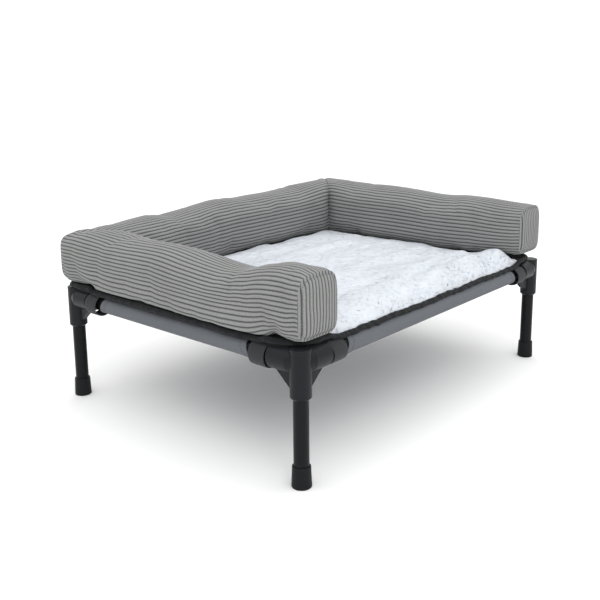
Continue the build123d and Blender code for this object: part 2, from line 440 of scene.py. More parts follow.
def readWeights(at, count, wrap):
    # Smooth weights that read between evenly spaced rows
    low = np.floor(at).astype(int)
    t = at - low
    shares = ((1 - t) ** 3, 3 * t**3 - 6 * t**2 + 4, -3 * t**3 + 3 * t**2 + 3 * t + 1, t**3)
    weights = np.zeros((len(at), count))
    for step, share in zip((-1, 0, 1, 2), shares):
        index = (low + step) % count if wrap else np.clip(low + step, 0, count - 1)
        np.add.at(weights, (np.arange(len(at)), index), share / 6)
    return weights


def fillCloth(start, held, closed, dial):
    # Fills a coarse copy of a cover as cloth under pressure, and returns how far each point moves
    across, along = start.shape[0] - 1, start.shape[1] - 1
    mesh, u, v = flatGrid("trial", across, along)
    order = np.lexsort((v, u))
    points = np.zeros((len(u), 3))
    points[order] = start.reshape(-1, 3)
    settle(mesh, points)
    number = np.zeros(len(u), np.int32)
    number[order] = np.arange(len(u))
    mesh.attributes.new("number", "INT", "POINT").data.foreach_set("value", number)
    if closed:
        finishMesh(mesh)
    number = np.zeros(len(mesh.vertices), np.int32)
    mesh.attributes["number"].data.foreach_get("value", number)
    trial = bpy.data.objects.new("trial", mesh)
    bpy.context.scene.collection.objects.link(trial)
    pinned = trial.vertex_groups.new(name="held")
    pinned.add([i for i, n in enumerate(number) if held.ravel()[n]], 1.0, "REPLACE")
    cloth = trial.modifiers.new("fill", "CLOTH")
    settings = cloth.settings
    settings.quality = 6
    settings.mass = 0.2
    settings.tension_stiffness = settings.compression_stiffness = dial["stiffness"]
    settings.shear_stiffness = dial["stiffness"] * 0.4
    settings.bending_stiffness = dial["bending"]
    settings.use_pressure = True
    settings.uniform_pressure_force = dial["pressure"]
    settings.shrink_min = -dial["slack"]
    settings.effector_weights.gravity = 0
    settings.vertex_group_mass = "held"
    for step in range(1, dial["frames"] + 1):
        bpy.context.scene.frame_set(step)
    solved = trial.evaluated_get(bpy.context.evaluated_depsgraph_get())
    after = np.zeros(len(number) * 3)
    solved.data.vertices.foreach_get("co", after)
    moved = np.zeros((len(u), 3))
    moved[number] = after.reshape(-1, 3) - start.reshape(-1, 3)[number]
    moved = moved.reshape(start.shape)
    if closed:
        moved[-1] = moved[0]
    bpy.data.objects.remove(trial)
    bpy.context.scene.frame_set(1)
    size = np.linalg.norm(moved, axis=-1, keepdims=True)
    return moved * np.minimum(1, dial["most"] / np.maximum(size, 1e-9))


def addPiece(mesh, name, finish, body):
    piece = bpy.data.objects.new(name, mesh)
    bpy.context.scene.collection.objects.link(piece)
    mesh.materials.append(finishes[finish])
    mesh.shade_smooth()
    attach(piece, body)
    return piece


def vertsIn(made):
    return [g for g in made if isinstance(g, bmesh.types.BMVert)]


def edgesIn(made):
    return [g for g in made if isinstance(g, bmesh.types.BMEdge)]


def roundOff(a, b):
    # Bends the unit square's outer corner into a quarter circle
    return a * np.sqrt(1 - b * b / 2), b * np.sqrt(1 - a * a / 2)


def sewRow(name, path, normals, stitch, gap, radius, finish, body):
    # A row of short stitches along a path
    bm = bmesh.new()
    steps = np.linalg.norm(np.diff(path, axis=0), axis=1)
    length = np.concatenate([[0], np.cumsum(steps)])
    for at in np.arange(gap, length[-1] - stitch, stitch + gap):
        first = Vector([np.interp(at, length, path[:, k]) for k in range(3)])
        last = Vector([np.interp(at + stitch, length, path[:, k]) for k in range(3)])
        up = Vector([np.interp(at, length, normals[:, k]) for k in range(3)]).normalized()
        along = (last - first).normalized()
        side = up.cross(along).normalized()
        up = along.cross(side)
        turn = Matrix((along, side, up)).transposed().to_4x4()
        size = Matrix.Diagonal((stitch * 0.5, radius, radius * 0.7, 1))
        where = Matrix.Translation((first + last) / 2)
        where = where @ turn @ size
        bmesh.ops.create_uvsphere(bm, u_segments=6, v_segments=4, radius=1, matrix=where, calc_uvs=False)
    mesh = bpy.data.meshes.new(name)
    bm.to_mesh(mesh)
    bm.free()
    return addPiece(mesh, name, finish, body)


# Bolster: each run is a sewn tube filled as cloth, then ribbed with its wales

bolsterDial = {
    "droop": 0.0088,  # how far the outer edge settles down over the mat's edge
    "waleWidth": 0.006,
    "waleDepth": 0.0012,
    "vertsPerWale": 8,
    "rowLength": 0.005,
    "softTop": 2.9,  # squareness of the section's upper half in the middle of a run
    "firmTop": 4.6,  # and at its seams
    "bottom": 5.5,
    "lumps": 0.0014,
    "slim": 0.955,
    "seamPinch": 0.035,
    "pinchLength": 0.010,
    "dome": 0.0060,
}
bolsterFill = {
    "cell": 0.0065,
    "frames": 20,
    "pressure": 4.0,
    "stiffness": 12.0,
    "bending": 0.25,
    "most": 0.006,  # the furthest a point may move
}
halfWidth = (sideHigh.x - sideLow.x) / 2
sectionHeight = bolsterHigh.z - bolsterLow.z
runX = bolsterHigh.x - halfWidth  # middle of a side run
runY = bolsterHigh.y - halfWidth  # middle of the back run
coverFront = sideLow.y


def sectionCurve(top):
    # The bolster's section from the middle of its underside, outwards and round, evenly spaced
    angle = np.linspace(-math.pi / 2, 1.5 * math.pi, 4001)
    power = np.where(np.sin(angle) > 0, top, bolsterDial["bottom"])
    out = np.sign(np.cos(angle)) * np.abs(np.cos(angle)) ** (2 / power) * halfWidth
    up = np.sign(np.sin(angle)) * np.abs(np.sin(angle)) ** (2 / power) * sectionHeight / 2
    length = np.concatenate([[0], np.cumsum(np.hypot(np.diff(out), np.diff(up)))])
    return length, out, up


softSection, firmSection = sectionCurve(bolsterDial["softTop"]), sectionCurve(bolsterDial["firmTop"])
waleCount = round(softSection[0][-1] / bolsterDial["waleWidth"])


def sectionPoint(u, firm):
    points = []
    for length, out, up in (softSection, firmSection):
        at = u * length[-1]
        points.append(np.stack([np.interp(at, length, out), np.interp(at, length, up)]))
    return points[0] + (points[1] - points[0]) * firm


# How each run stands: s goes from the front seam or the left mitre to its other seam
runShapes = {
    "left": {
        # place, share of the height
        "tall": [(0, 0.93), (0.10, 0.95), (0.30, 0.83), (0.55, 0.90), (0.80, 0.85), (1, 0.87)],
        "raised": 0.0,  # how far the front end curls up
        "slack": 0.030,
        # place, place round the section, reach round it, depth, slant
        "creases": [(0.165, 0.64, 0.10, 0.0034, 0.05), (0.205, 0.70, 0.08, 0.0028, -0.05),
                    (0.24, 0.36, 0.07, 0.0022, 0.08), (0.50, 0.66, 0.08, 0.0018, 0.12),
                    (0.64, 0.60, 0.09, 0.0020, -0.10), (0.90, 0.62, 0.12, 0.0018, 0.2)],
    },
    "back": {
        "tall": [(0, 0.87), (0.24, 0.99), (0.50, 1.09), (0.75, 1.11), (1, 1.12)],
        "raised": 0.0,
        "slack": 0.014,
        "creases": [(0.22, 0.40, 0.10, 0.0016, 0.1), (0.5, 0.35, 0.10, 0.0014, -0.1),
                    (0.78, 0.4, 0.08, 0.0012, 0.1), (0.36, 0.68, 0.08, 0.0014, 0.08),
                    (0.66, 0.66, 0.08, 0.0012, -0.07)],
    },
    "right": {
        "tall": [(0, 0.93), (0.30, 1.10), (0.62, 1.16), (1, 1.13)],
        "raised": 0.0080,
        "slack": 0.012,
        "creases": [(0.42, 0.33, 0.08, 0.0016, -0.05), (0.3, 0.66, 0.08, 0.0014, -0.08),
                    (0.66, 0.36, 0.07, 0.0012, 0.05)],
    },
}


def eased(at, places):
    # Reads a value along a run, level at each given place
    total = np.zeros_like(at) + places[0][1]
    for (start, low), (end, high) in zip(places, places[1:]):
        total = total + (high - low) * smoothStep((at - start) / (end - start))
    return total


def runLength(name):
    return 2 * runX if name == "back" else runY - coverFront


def runSurface(name, u, s):
    # The smooth cover of one run, before it is filled and ribbed
    length = runLength(name)
    fromFront = s * length
    fromMitre = np.minimum(s, 1 - s) * length if name == "back" else (1 - s) * length
    firm = np.exp(-((fromMitre / 0.070) ** 2))
    if name != "back":
        firm = np.maximum(firm, 0.55 * np.exp(-((fromFront / 0.050) ** 2)))
    out, up = sectionPoint(u, firm)
    fromSeam = np.minimum(s, 1 - s) * length
    pinch = 1 - bolsterDial["seamPinch"] * np.exp(-((fromSeam / bolsterDial["pinchLength"]) ** 1.5))
    tall = eased(s, runShapes[name]["tall"])
    out = out * pinch * (1 + (1 - tall) * 0.25) * bolsterDial["slim"]
    rise = (up + sectionHeight / 2) * tall
    rise = sectionHeight / 2 + (rise - sectionHeight / 2) * pinch
    overEdge = smoothStep((out / halfWidth - 0.35) / 0.5) * smoothStep(1 - (up + sectionHeight / 2) / 0.040)
    fromCorner = np.minimum(fromSeam, fromMitre)
    rise = rise - bolsterDial["droop"] * overEdge * smoothStep((fromCorner - 0.040) / 0.050)
    rise = rise + runShapes[name]["raised"] * np.clip(1 - fromFront / 0.20, 0, 1) ** 1.5
    side = {"left": -1, "right": 1, "back": 0}[name]
    if side:
        x = side * (runX + out)
        y = coverFront + (runY + out - coverFront) * s
    else:
        x = (2 * s - 1) * (runX + out)
        y = runY + out
    return np.stack([x, y, bolsterLow.z + rise], axis=-1)


def surfaceNormal(points):
    du = np.roll(points, -1, axis=0) - np.roll(points, 1, axis=0)
    normal = np.cross(du, np.gradient(points, axis=1))
    normal /= np.linalg.norm(normal, axis=-1, keepdims=True) + 1e-12
    outward = ((points - points.mean(axis=0, keepdims=True)) * normal).sum()
    return normal if outward > 0 else -normal


def runSwell(name, fineU, fineS):
    # The run filled as cloth on a coarse grid, read at the fine grid's rows
    around = round(softSection[0][-1] / bolsterFill["cell"])
    along = round(runLength(name) / bolsterFill["cell"])
    u, s = np.meshgrid(np.linspace(0, 1, around + 1), np.linspace(0, 1, along + 1), indexing="ij")
    start = runSurface(name, u, s)
    start[-1] = start[0]
    start = start + evenNoise(start, 0.03, 12)[..., None] * 0.0006
    start[-1] = start[0]
    dial = {**bolsterFill, "slack": runShapes[name]["slack"]}
    moved = fillCloth(start, (s < 1e-6) | (s > 1 - 1e-6), True, dial)
    readU = readWeights(fineU * around, around, True)
    readS = readWeights(fineS * along, along + 1, False)
    return np.einsum("ia,abk,jb->ijk", readU, moved[:-1], readS, optimize=True)


def makeRun(name):
    around = waleCount * bolsterDial["vertsPerWale"]
    along = round(runLength(name) / bolsterDial["rowLength"])
    mesh, u, v = flatGrid(f"bolsterCover_{name}", around, along)
    order = np.lexsort((v, u))
    gridU = gridPoints(u, order, around, along)[:-1]
    gridS = gridPoints(v, order, around, along)[:-1]
    fromSeam = np.minimum(gridS, 1 - gridS) * runLength(name)
    swell = runSwell(name, gridU[:, 0], gridS[0]) * np.clip(fromSeam / 0.004, 0, 1)[..., None]
    points = runSurface(name, gridU, gridS) + swell
    normal = surfaceNormal(points)
    lumps = evenNoise(points, 0.075, 3) * 0.7 + evenNoise(points, 0.032, 5) * 0.3
    move = lumps * bolsterDial["lumps"]
    for at, around0, wide, depth, slant in runShapes[name]["creases"]:
        window = np.exp(-(((gridU - around0) / wide) ** 2))
        line = (gridS - at - slant * (gridU - around0)) * runLength(name)
        groove = np.exp(-((line / 0.006) ** 2)) - 0.55 * np.exp(-(((np.abs(line) - 0.014) / 0.010) ** 2))
        move = move - depth * window * groove
    # small gathers where the cover is sewn in
    gather = evenNoise(np.stack([gridU * 9.0, gridS * 0, gridS * 0], -1), 0.35, 8)
    move = move + 0.0012 * gather * np.exp(-fromSeam / 0.016)
    wale = np.abs(np.sin(gridU * waleCount * math.pi)) ** 0.75 - 0.6
    uneven = 1 + 0.25 * evenNoise(np.stack([gridU * waleCount, gridS * 40, gridS * 0], -1), 1.0, 9)
    wale = wale * uneven * bolsterDial["waleDepth"] * np.clip(fromSeam / 0.003, 0.25, 1)
    points = points + normal * (move * np.clip(fromSeam / 0.006, 0, 1) + wale)[..., None]
    points[..., 2] = np.maximum(points[..., 2], bolsterLow.z - 0.0002)
    full = np.concatenate([points, points[:1]], axis=0)
    flat = np.zeros((len(u), 3))
    flat[order] = full.reshape(-1, 3)
    settle(mesh, flat)
    scaleUv(mesh, waleCount, runLength(name))
    finishMesh(mesh)
    cover = addPiece(mesh, f"bolsterCover_{name}", "corduroy", "topper")
    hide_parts(f"bolster_cover_{name}", f"bolster_fill_{name}")
    return full


def makeEndPanel(name, rim):
    # A domed panel inside the run's front seam, its wales upright
    low, high = rim[:, [0, 2]].min(0), rim[:, [0, 2]].max(0)
    wales = round((high[0] - low[0]) / bolsterDial["waleWidth"])
    mesh, u, v = flatGrid(f"bolsterEnd_{name}", wales * bolsterDial["vertsPerWale"], 72)
    p, q = 2 * u - 1, 2 * v - 1
    # the section's outline, followed by the square's edge
    share = np.maximum(np.maximum(np.abs(p), np.abs(q)), 1e-9)
    middle = (low + high) / 2
    angles = np.arctan2(rim[:, 2] - middle[1], rim[:, 0] - middle[0])
    radii = np.hypot(rim[:, 2] - middle[1], rim[:, 0] - middle[0])
    turn = np.argsort(angles)
    aspect = np.arctan2(q * (high[1] - low[1]), p * (high[0] - low[0]))
    radius = np.interp(aspect, angles[turn], radii[turn], period=2 * math.pi)
    x = middle[0] + radius * share * np.cos(aspect)
    z = middle[1] + radius * share * np.sin(aspect)
    edge = (1 - share) * radius
    seamGroove = 0.0014 * np.exp(-(((edge - 0.0035) / 0.0022) ** 2))
    dome = bolsterDial["dome"] * (1 - np.exp(-edge / 0.010)) - seamGroove
    puff = evenNoise(np.stack([x, z, z * 0], -1), 0.03, 21) * 0.0013 * np.clip(edge / 0.01, 0, 1)
    phase = (x - low[0]) / (high[0] - low[0]) * wales
    wale = (np.abs(np.sin(phase * math.pi)) ** 0.75 - 0.6) * bolsterDial["waleDepth"]
    y = coverFront - dome - puff - wale * np.clip(edge / 0.003, 0, 1)
    settle(mesh, np.stack([x, y, z], -1))
    loops = np.zeros(len(mesh.loops), int)
    mesh.loops.foreach_get("vertex_index", loops)
    mesh.uv_layers[0].data.foreach_set("uv", np.stack([phase[loops], z[loops]], -1).ravel())
    finishMesh(mesh)
    panel = addPiece(mesh, f"bolsterEnd_{name}", "corduroy", "topper")
    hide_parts(f"bolster_end_{name}")
    count = 160
    ring = np.linspace(-math.pi, math.pi, count)
    inner = np.interp(ring, angles[turn], radii[turn], period=2 * math.pi) - 0.0042
    ringX, ringZ = middle[0] + inner * np.cos(ring), middle[1] + inner * np.sin(ring)
    path = np.stack([ringX, np.full(count, coverFront - 0.0020), ringZ], -1)
    facing = np.tile([0, -1.0, 0], (count, 1))
    sewRow(f"endStitches_{name}", path, facing, 0.0026, 0.0012, 0.00035, "greyThread", "topper")


runs = {name: makeRun(name) for name in ("left", "back", "right")}
for name in ("left", "right"):
    makeEndPanel(name, runs[name][:-1, 0])
print("bolster made")

# Mat

matDial = {
    "cell": 0.0022,
    "edgeRound": 0.010,
    "crown": 0.0050,
    "frontRoll": 0.0064,  # height of the roll behind the front edge
    "frontFall": 0.0065,
    "lobe": 0.0065,
    "climb": 0.0075,  # how far the plush swells up against the bolster
    "broad": 0.0028,
    "fluff": 0.0012,
    "tuft": 0.0003,
    "frontRadius": 0.046,
    "backRadius": 0.022,
    "bindingRadius": 0.0038,
    "plushUnderBolster": 0.014,
}
matFill = {
    "cell": 0.010,
    "frames": 16,
    "pressure": 1.5,
    "slack": 0.012,
    "stiffness": 6.0,
    "bending": 0.4,
    "most": 0.004,
}
# folds in the plush: place, heading, half width, half length, height
matFolds = [
    (0.165, -0.190, 0.10, 0.009, 0.075, 0.0050),
    (0.150, -0.165, 0.32, 0.009, 0.085, 0.0042),
    (0.090, -0.150, 0.18, 0.012, 0.090, 0.0030),
    (0.190, -0.110, 0.55, 0.011, 0.070, 0.0030),
    (-0.080, -0.175, 0.08, 0.011, 0.090, 0.0026),
    (0.020, -0.020, 0.70, 0.014, 0.100, 0.0026),
    (0.120, 0.060, 0.20, 0.013, 0.090, 0.0026),
    (-0.120, 0.020, 1.20, 0.012, 0.080, 0.0022),
]
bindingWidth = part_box("mat_base")[0].x - matLow.x
innerLow = np.array([matLow.x, matLow.y]) + bindingWidth * 0.6
innerHigh = np.array([matHigh.x, matHigh.y]) - bindingWidth * 0.6
wellX, wellY = runX - halfWidth, runY - halfWidth  # the bolster's inner faces


def matOutline(s, t):
    # The mat inside its binding: s and t from -1 to 1 over a rectangle with rounded corners
    radius = np.where(t < 0, matDial["frontRadius"], matDial["backRadius"])
    centre, half = (innerLow + innerHigh) / 2, (innerHigh - innerLow) / 2
    x, y = s * half[0], t * half[1]
    overX = np.clip((np.abs(x) - (half[0] - radius)) / radius, 0, 1)
    overY = np.clip((np.abs(y) - (half[1] - radius)) / radius, 0, 1)
    bentX, bentY = roundOff(overX, overY)
    both = (overX > 0) & (overY > 0)
    x = np.where(both, np.sign(x) * (half[0] - radius + bentX * radius), x)
    y = np.where(both, np.sign(y) * (half[1] - radius + bentY * radius), y)
    return x + centre[0], y + centre[1]


def frontDrop(x, y):
    # The mat's front edge settles onto the sleeve, and rises over the connectors at its ends
    reach = 0.045  # how far behind the front edge it starts
    between = smoothStep((wellX + 0.006 - np.abs(x)) / 0.016)
    return between * np.clip((matLow.y + reach - y) / reach, 0, 1) ** 2


def plushHeight(x, y, edge):
    # The top of the plush before its fluff
    flat = np.stack([x, y, x * 0], -1)
    inX, inY = wellX - np.abs(x), wellY - y
    well = np.clip(inX / 0.03, 0, 1) * np.clip(inY / 0.03, 0, 1)
    fromFront = y - innerLow[1]
    free = smoothStep((inX + 0.004) / 0.012)
    rollUneven = 1 + 0.5 * evenNoise(flat * (1, 0.3, 1), 0.05, 37)
    roll = matDial["frontRoll"] * np.exp(-(((fromFront - 0.038) / 0.028) ** 2)) * rollUneven
    fall = matDial["frontFall"] * (1 - smoothStep(fromFront / 0.032))
    openX, openY = np.clip(1 + inX / 0.004, 0, 1), np.clip(1 + inY / 0.004, 0, 1)
    climb = np.exp(-((np.clip(inX, 0, 1) / 0.017) ** 2)) * openX * openY
    climbBack = np.exp(-((np.clip(inY, 0, 1) / 0.017) ** 2)) * openX * openY
    # the plush bulges where it meets a side run's front end
    lobe = np.exp(-(((wellX - 0.013 - np.abs(x)) / 0.017) ** 2) - (((fromFront - 0.026) / 0.024) ** 2)) * openX
    uneven = 0.75 + 0.35 * evenNoise(flat, 0.045, 38)
    height = plushTop - 0.0006 + matDial["crown"] * well * np.clip(edge / 0.06, 0, 1)
    swollen = np.maximum(climb, climbBack) * matDial["climb"] * uneven * smoothStep(fromFront / 0.02)
    height = height + (roll - fall) * free + swollen
    height = height + matDial["lobe"] * lobe
    broad = evenNoise(flat, 0.085, 31) * 0.5 + evenNoise(flat * (1, 2.0, 1), 0.045, 32) * 0.5
    height = height + well * broad * matDial["broad"]
    for cx, cy, heading, wide, long, tall in matFolds:
        along = (x - cx) * math.cos(heading) + (y - cy) * math.sin(heading)
        side = (y - cy) * math.cos(heading) - (x - cx) * math.sin(heading) + 0.006 * np.sin(along * 30)
        fold = np.exp(-((side / wide) ** 2)) - 0.5 * np.exp(-(((side + 1.8 * wide) / wide) ** 2))
        height = height + tall * fold * np.exp(-((along / long) ** 2)) * well
    return height, well


def matSwell(fineU, fineV):
    # The mat's top filled as cloth on a coarse grid, held round its rim and under the bolster
    sizeX, sizeY = innerHigh - innerLow
    across, along = round(sizeX / matFill["cell"]), round(sizeY / matFill["cell"])
    u, v = np.meshgrid(np.linspace(0, 1, across + 1), np.linspace(0, 1, along + 1), indexing="ij")
    x, y = matOutline(2 * u - 1, 2 * v - 1)
    edge = np.minimum(np.minimum(u, 1 - u) * sizeX, np.minimum(v, 1 - v) * sizeY)
    height = plushHeight(x, y, edge)[0]
    held = (np.abs(x) > wellX - 0.004) | (y > wellY - 0.004) | (edge < 0.004)
    moved = fillCloth(np.stack([x, y, height], -1), held, False, matFill)
    readU = readWeights(fineU * across, across + 1, False)
    readV = readWeights(fineV * along, along + 1, False)
    return np.einsum("ia,abk,jb->ijk", readU, moved, readV, optimize=True)


def makePlush():
    sizeX, sizeY = innerHigh - innerLow
    across, along = round(sizeX / matDial["cell"]), round(sizeY / matDial["cell"])
    mesh, u, v = flatGrid("matPlush", across, along)
    order = np.lexsort((v, u))
    s, t = 2 * u - 1, 2 * v - 1
    x, y = matOutline(s, t)
    edge = np.minimum((1 - np.abs(s)) * sizeX, (1 - np.abs(t)) * sizeY) / 2
    roundness = np.clip(edge / matDial["edgeRound"], 0, 1)
    flat = np.stack([x, y, x * 0], -1)
    height, well = plushHeight(x, y, edge)
    swell = np.zeros((len(u), 3))
    gridU, gridV = gridPoints(u, order, across, along), gridPoints(v, order, across, along)
    swell[order] = matSwell(gridU[:, 0], gridV[0]).reshape(-1, 3)
    fluff = evenNoise(flat * (0.75, 1, 1), 0.011, 33) * 0.6 + evenNoise(flat, 0.0062, 34) * 0.4
    tuft = evenNoise(flat, 0.0034, 35)
    height = height + swell[:, 2] + (fluff * matDial["fluff"] + tuft * matDial["tuft"]) * (0.35 + 0.65 * well)
    bottom = matBottom + 0.0045 - 0.0035 * frontDrop(x, y)
    z = bottom + (height - bottom) * np.sqrt(1 - (1 - roundness) ** 2)
    bulge = 0.0016 * evenNoise(flat, 0.009, 36) * (1 - roundness)
    centreX, centreY = (innerLow + innerHigh) / 2
    x = x + swell[:, 0] + bulge * np.sign(x - centreX) * (np.abs(s) > 0.97)
    y = y + swell[:, 1] + bulge * np.sign(y - centreY) * (np.abs(t) > 0.97)
    points = np.stack([x, y, z], -1)
    settle(mesh, points)
    bm = bmesh.new()
    bm.from_mesh(mesh)
    topFaces = set(bm.faces)
    rim = [e for e in bm.edges if e.is_boundary]
    skirt = bmesh.ops.extrude_edge_only(bm, edges=rim)["geom"]
    for vert in vertsIn(skirt):
        vert.co.z = matBottom + 0.0016
    bmesh.ops.holes_fill(bm, edges=edgesIn(skirt), sides=0)
    bmesh.ops.recalc_face_normals(bm, faces=bm.faces)
    under = matDial["plushUnderBolster"]
    for face in bm.faces:  # dark cloth where the bolster covers the mat, and round the edge
        middle = face.calc_center_median()
        covered = abs(middle.x) > wellX + under or middle.y > wellY + under
        face.material_index = 1 if covered or face not in topFaces else 0
    bm.to_mesh(mesh)
    bm.free()
    plush = addPiece(mesh, "matPlush", "plush", "topper")
    mesh.materials.append(finishes["base"])
    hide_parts("mat_plush", "mat_pad")
    makePile(points, well, edge)


def makePile(points, well, edge):
    # Short tufts leaning over the plush
    pileDial = {"doublings": 14, "length": 0.0058, "width": 0.0010, "seed": 17}
    rng = np.random.default_rng(pileDial["seed"])
    count = 2 ** pileDial["doublings"]
    spots = np.flatnonzero((well > 0.02) & (edge > 0.0015))
    root = points[rng.choice(spots, count, replace=False)]
    root = root + rng.uniform(-1, 1, (count, 3)) * (0.001, 0.001, 0.0002)
    heading = 1.5 * evenNoise(root * (1, 1, 0), 0.06, 61) + 0.8 * evenNoise(root * (1, 1, 0), 0.018, 62)
    heading = heading - 0.5 + rng.normal(0, 0.25, count)
    length = pileDial["length"] * rng.uniform(0.6, 1.25, count)[:, None]
    surface = KDTree(len(points))
    for number, (px, py, _) in enumerate(points):
        surface.insert((px, py, 0), number)
    surface.balance()
    tip = root + np.stack([np.cos(heading), np.sin(heading), heading * 0], -1) * length
    under = np.array([surface.find((px, py, 0))[1] for px, py, _ in tip])
    tip[:, 2] = points[under, 2] + rng.uniform(0.0003, 0.0011, count)
    along = (tip - root) / np.linalg.norm(tip - root, axis=1, keepdims=True)
    side = np.stack([-np.sin(heading), np.cos(heading), heading * 0], -1)
    upright = np.cross(along, side)
    upright = upright * np.sign(upright[:, 2:])
    width = pileDial["width"] * rng.uniform(0.7, 1.3, count)[:, None]
    root = root - (0, 0, 0.0005)
    crest = root + upright * width * 0.35 + along * length * 0.25
    footing = [root + side * width, root - side * width, crest]
    bm = bmesh.new()
    bmesh.ops.create_cone(bm, cap_ends=True, segments=3, radius1=0.001, radius2=0, depth=0.005)
    bmesh.ops.remove_doubles(bm, verts=bm.verts, dist=1e-6)
    for step in range(pileDial["doublings"]):  # each copy is set apart by its number along X
        made = bmesh.ops.duplicate(bm, geom=bm.verts[:] + bm.edges[:] + bm.faces[:])["geom"]
        bmesh.ops.translate(bm, verts=vertsIn(made), vec=(2**step, 0, 0))
    mesh = bpy.data.meshes.new("matPile")
    bm.to_mesh(mesh)
    bm.free()
    co = np.zeros(len(mesh.vertices) * 3)
    mesh.vertices.foreach_get("co", co)
    co = co.reshape(-1, 3)
    number = np.rint(co[:, 0]).astype(int)
    levels = np.unique(np.round(co[co[:, 2] < 0, 1], 5))
    corner = np.where(co[:, 2] > 0, 3, np.searchsorted(levels, np.round(co[:, 1], 5)).clip(0, 2))
    settle(mesh, np.stack([*footing, root + along * length])[corner, number])
    bm = bmesh.new()
    bm.from_mesh(mesh)
    bmesh.ops.recalc_face_normals(bm, faces=bm.faces)
    bm.to_mesh(mesh)
    bm.free()
    addPiece(mesh, "matPile", "plush", "topper")
    mesh.shade_flat()


def overConnectors(x, y, near, far):
    # 1 over the connectors' arms, falling to 0 between near and far from the leg's axis
    most = np.zeros_like(x)
    for sideX, sideY in corners:
        away = np.maximum(np.abs(x - sideX * legX), np.abs(y - sideY * legY))
        most = np.maximum(most, 1 - np.clip((away - near) / (far - near), 0, 1))
    return smoothStep(most)


def makeBase():
    sizeX, sizeY = innerHigh - innerLow
    mesh, u, v = flatGrid("matBase", 90, 70)
    x, y = matOutline(2 * u - 1, 2 * v - 1)
    flat = np.stack([x, y, x * 0], -1)
    lift = (connectorTop + 0.0006 - matBottom) * overConnectors(x, y, armReach + 0.003, armReach + 0.023)
    z = matBottom + 0.0006 + lift + 0.0002 * evenNoise(flat, 0.03, 41)
    settle(mesh, np.stack([x, y, z], -1))
    scaleUv(mesh, sizeX, sizeY)
    base = addPiece(mesh, "matBase", "base", "topper")
    solid = base.modifiers.new("thickness", "SOLIDIFY")
    solid.thickness = 0.0009
    solid.offset = 1
    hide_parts("mat_base")


def bindingPath(count):
    # The binding's centre line, once round the mat, and how far along it is
    low = np.array([matLow.x, matLow.y]) + matDial["bindingRadius"]
    high = np.array([matHigh.x, matHigh.y]) - matDial["bindingRadius"]
    points = []
    for sideX, sideY, start in ((1, -1, -90), (1, 1, 0), (-1, 1, 90), (-1, -1, 180)):
        radius = matDial["frontRadius"] if sideY < 0 else matDial["backRadius"]
        centreX = high[0] - radius if sideX > 0 else low[0] + radius
        centreY = high[1] - radius if sideY > 0 else low[1] + radius
        for angle in np.radians(np.linspace(start, start + 90, 24)):
            points.append((centreX + radius * math.cos(angle), centreY + radius * math.sin(angle)))
    points = np.array(points + points[:1])
    length = np.concatenate([[0], np.cumsum(np.linalg.norm(np.diff(points, axis=0), axis=1))])
    at = np.linspace(0, length[-1], count)
    return np.interp(at, length, points[:, 0]), np.interp(at, length, points[:, 1]), at


def makeBinding():
    around, along = 20, 1400
    x, y, at = bindingPath(along + 1)
    flat = np.stack([x, y, x * 0], -1)
    drop = frontDrop(x, y)
    z = np.full_like(x, matBottom + 0.0046)
    lift = overConnectors(x, y, armReach + 0.003, armReach + 0.017)
    z = z + (connectorTop + 0.0040 - z) * lift - 0.0030 * drop
    wave = evenNoise(flat, 0.028, 51) * 0.0019 + evenNoise(flat, 0.012, 52) * 0.0014
    z = z + wave * (0.2 + 0.8 * drop)
    push = evenNoise(flat + 3.0, 0.022, 53) * 0.0014 + evenNoise(flat + 5.0, 0.010, 56) * 0.0010
    dx, dy = np.gradient(x), np.gradient(y)
    dx[0] = dx[-1] = (x[1] - x[-2]) / 2
    dy[0] = dy[-1] = (y[1] - y[-2]) / 2
    size = np.hypot(dx, dy)
    outX, outY = dy / size, -dx / size
    x, y = x + outX * (push + 0.0012 * drop), y + outY * (push + 0.0012 * drop)
    mesh, u, v = flatGrid("matBinding", around, along)
    index = np.rint(v * along).astype(int) % along
    angle = u * 2 * math.pi
    puff = 1 + 0.10 * evenNoise(np.stack([x, y, z], -1), 0.010, 54)[index]
    # slanting gathers where the tape is pulled round the edge
    phase = at[index] / 0.0125 + 0.35 * np.sin(angle) + 0.9 * evenNoise(flat, 0.05, 57)[index]
    gather = 1 + (0.10 + 0.12 * drop[index]) * (np.abs(np.sin(phase * math.pi)) ** 0.6 - 0.7)
    radius = matDial["bindingRadius"] * puff * gather * (1 + 0.05 * np.cos(4 * angle))
    sideways = np.cos(angle) * radius * 0.98
    upward = np.sin(angle) * radius
    x1, y1 = x[index] + outX[index] * sideways, y[index] + outY[index] * sideways
    settle(mesh, np.stack([x1, y1, z[index] + upward], -1))
    scaleUv(mesh, 0.024, at[-1])
    finishMesh(mesh, merge=1e-5)
    binding = addPiece(mesh, "matBinding", "binding", "topper")
    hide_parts("mat_binding")
    inner = np.stack([x - outX * 0.0020, y - outY * 0.0020, z + matDial["bindingRadius"] * 0.93], -1)
    up = np.stack([-outX * 0.4, -outY * 0.4, np.ones_like(x)], -1)
    sewRow("bindingStitches", inner, up, 0.0028, 0.0014, 0.00038, "thread", "topper")


makePlush()
makeBase()
makeBinding()
print("mat made")

# Sling

slingDial = {
    "cell": 0.008,
    "thickness": 0.0010,
    "sag": 0.0025,
    "sweep": 292,  # degrees that a sleeve goes round its rail
    "sleeveSteps": 22,
    "seamInset": 0.020,  # from the rail's axis to the seam under the panel
    "hem": 0.009,
    "slant": 0.010,  # how much further the sleeves reach underneath
    "cutMargin": 0.010,  # from a sleeve's end to the rounded cut-out
}
# from a leg's axis to the sleeve's end, along the rail
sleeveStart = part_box("strap_front_rail_left")[1].x + legX + 0.001
cutRadius = sleeveStart + slingDial["cutMargin"]


